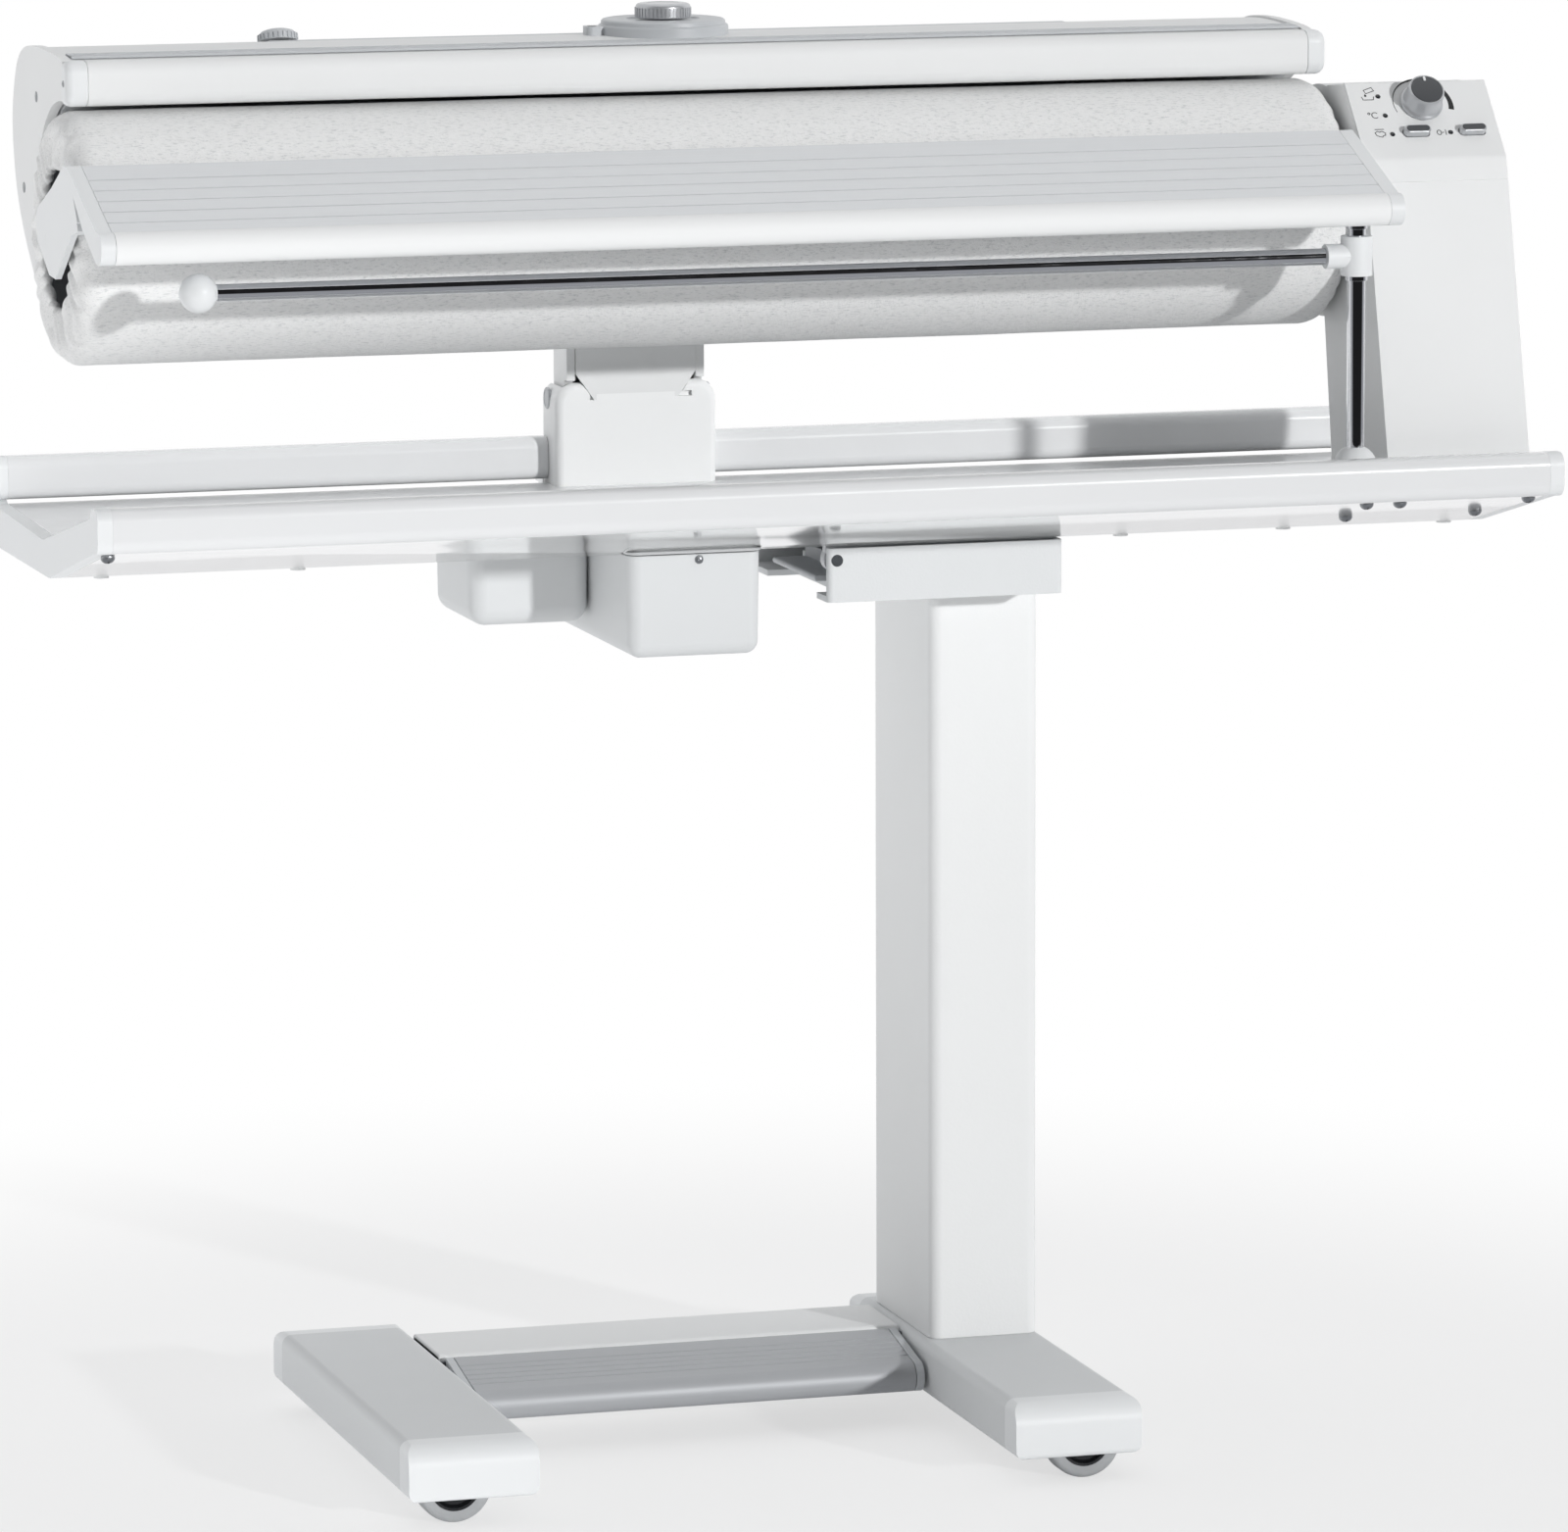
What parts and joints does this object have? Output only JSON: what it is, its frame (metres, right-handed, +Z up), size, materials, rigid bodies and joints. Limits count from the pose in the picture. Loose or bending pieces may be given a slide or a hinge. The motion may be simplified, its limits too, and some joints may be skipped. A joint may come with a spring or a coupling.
{
  "type": "flatwork ironer",
  "caption": "Roller flatwork ironer on a wheeled column stand, with padded roller, heated shoe, drive tower, linen shelf, foot bar and hanging rail.",
  "frame": {"origin": "On the floor under the middle of the machine: centre of the bounding box's bottom face.", "axes": "+X along the roller towards the drive tower, -Y towards the user, +Z up."},
  "size_m": [0.985, 0.38, 0.9616],
  "materials": {
    "white_enamel": "smooth satin white powder coat",
    "pale_plastic": "smooth glossy white plastic",
    "grey_plastic": "light grey plastic",
    "silver_sheet": "satin anodised, fine grooves",
    "bright_chrome": "polished",
    "plain_steel": "machined",
    "motor_paint": "dark satin paint",
    "felt_cloth": "speckled needle felt under cloth",
    "roller_steel": "rolled sheet",
    "gear_plastic": "moulded",
    "sinter_brass": "machined",
    "element_tube": "heat-tinted",
    "board_green": "printed board",
    "wheel_grey": "grey rubber tread on a black hub"
  },
  "bodies": {
    "stand": {"foot_left": "white_enamel", "foot_right": "white_enamel", "foot_caps": "pale_plastic", "cross_beam": "white_enamel", "column": "white_enamel", "column_head": "white_enamel", "stand_pins": "plain_steel", "wheel_axles": "plain_steel", "stand_screws": "plain_steel"},
    "wheel_front_left": {"wheel_front_left": "wheel_grey"},
    "wheel_rear_left": {"wheel_rear_left": "wheel_grey"},
    "wheel_front_right": {"wheel_front_right": "wheel_grey"},
    "wheel_rear_right": {"wheel_rear_right": "wheel_grey"},
    "foot_bar": {"foot_bar": "silver_sheet"},
    "fold_latch": {"fold_latch": "grey_plastic"},
    "beam": {"shelf_beam": "white_enamel", "beam_cap_left": "pale_plastic", "beam_cap_right": "pale_plastic", "bottom_cover": "white_enamel", "fold_bracket": "silver_sheet", "beam_screws": "bright_chrome", "tower_frame": "plain_steel", "tower_casing": "pale_plastic", "control_panel": "pale_plastic", "control_board": "board_green", "drive_motor": "motor_paint", "roller_axle": "plain_steel", "feed_board": "silver_sheet", "feed_bracket_left": "pale_plastic", "feed_bracket_right": "pale_plastic", "hanging_post": "bright_chrome", "post_fittings": "pale_plastic", "neck_housing": "pale_plastic", "pressure_housing_left": "pale_plastic", "pressure_housing_right": "pale_plastic", "pressure_motor": "motor_paint", "cord_gland": "grey_plastic", "arm_shaft": "plain_steel"},
    "roller": {"roller_tube": "roller_steel", "roller_padding": "felt_cloth", "roller_gear": "gear_plastic", "roller_bearings": "sinter_brass"},
    "motor_pinion": {"motor_pinion": "sinter_brass"},
    "arm": {"heater_arm": "white_enamel", "arm_panel": "grey_plastic", "heated_shoe": "silver_sheet", "heating_elements": "element_tube", "heater_cover": "white_enamel", "cover_cap_left": "pale_plastic", "cover_cap_right": "pale_plastic", "steam_tank": "grey_plastic", "filler_plate": "grey_plastic"},
    "filler_cap": {"filler_cap": "silver_sheet"},
    "drain_knob": {"drain_knob": "grey_plastic"},
    "finger_guard": {"finger_guard": "pale_plastic"},
    "temperature_knob": {"temperature_knob": "silver_sheet"},
    "button_left": {"button_left": "silver_sheet"},
    "button_right": {"button_right": "silver_sheet"},
    "hanging_rail": {"hanging_rail": "bright_chrome", "rail_fittings": "pale_plastic"}
  },
  "joints": [
    {"name": "wheel_front_left_spin", "type": "hinge", "parent": "stand", "child": "wheel_front_left", "pos_m": [-0.2625, -0.1655, 0.025], "axis": [0, 1, 0], "continuous": true},
    {"name": "wheel_rear_left_spin", "type": "hinge", "parent": "stand", "child": "wheel_rear_left", "pos_m": [-0.2625, 0.1655, 0.025], "axis": [0, 1, 0], "continuous": true},
    {"name": "wheel_front_right_spin", "type": "hinge", "parent": "stand", "child": "wheel_front_right", "pos_m": [0.1665, -0.1655, 0.025], "axis": [0, 1, 0], "continuous": true},
    {"name": "wheel_rear_right_spin", "type": "hinge", "parent": "stand", "child": "wheel_rear_right", "pos_m": [0.1665, 0.1655, 0.025], "axis": [0, 1, 0], "continuous": true},
    {"name": "foot_bar_press", "type": "hinge", "parent": "stand", "child": "foot_bar", "pos_m": [-0.048, 0.0676, 0.05], "axis": [1, 0, 0], "range_deg": [0, 8], "stiffness_Nm_per_rad": 10, "springref_deg": -22.92},
    {"name": "fold_latch_turn", "type": "hinge", "parent": "stand", "child": "fold_latch", "pos_m": [0.0615, 0.052, 0.582], "axis": [0, -1, 0], "range_deg": [0, 20], "stiffness_Nm_per_rad": 0.3, "springref_deg": -20.05},
    {"name": "beam_fold", "type": "hinge", "parent": "stand", "child": "beam", "pos_m": [0.04, 0.063, 0.598], "axis": [0, -1, 0], "range_deg": [0, 90]},
    {"name": "roller_spin", "type": "hinge", "parent": "beam", "child": "roller", "pos_m": [-0.0455, 0.003, 0.824], "axis": [1, 0, 0], "continuous": true},
    {"name": "motor_pinion_spin", "type": "hinge", "parent": "beam", "child": "motor_pinion", "pos_m": [0.408, -0.03311, 0.77608], "axis": [1, 0, 0], "continuous": true},
    {"name": "heater_open", "type": "hinge", "parent": "beam", "child": "arm", "pos_m": [-0.0565, 0.14, 0.693], "axis": [-1, 0, 0], "range_deg": [0, 8]},
    {"name": "finger_guard_lift", "type": "hinge", "parent": "arm", "child": "finger_guard", "pos_m": [-0.047, -0.0064, 0.936], "axis": [-1, 0, 0], "range_deg": [0, 15], "stiffness_Nm_per_rad": 1, "springref_deg": -17.19},
    {"name": "filler_cap_turn", "type": "hinge", "parent": "arm", "child": "filler_cap", "pos_m": [-0.047, 0.078, 0.957], "axis": [0, 0, 1], "range_deg": [0, 90]},
    {"name": "drain_knob_turn", "type": "hinge", "parent": "arm", "child": "drain_knob", "pos_m": [-0.299, 0.123, 0.9385], "axis": [0, 0.2676, 0.9635], "range_deg": [0, 180]},
    {"name": "temperature_turn", "type": "hinge", "parent": "beam", "child": "temperature_knob", "pos_m": [0.44, -0.05925, 0.89595], "axis": [0, -0.7433, 0.669], "range_deg": [-135, 135]},
    {"name": "button_left_press", "type": "slide", "parent": "beam", "child": "button_left", "axis": [0, 0.7433, -0.669], "range_m": [0, 0.002], "stiffness_N_per_m": 400, "springref_m": -0.003},
    {"name": "button_right_press", "type": "slide", "parent": "beam", "child": "button_right", "axis": [0, 0.7433, -0.669], "range_m": [0, 0.002], "stiffness_N_per_m": 400, "springref_m": -0.003},
    {"name": "hanging_rail_swing", "type": "hinge", "parent": "beam", "child": "hanging_rail", "pos_m": [0.363, -0.143, 0.801], "axis": [0, 0, 1], "range_deg": [0, 100]}
  ],
  "couplings": [
    {"joint": "motor_pinion_spin", "follows": "roller_spin", "ratio": -4}
  ]
}
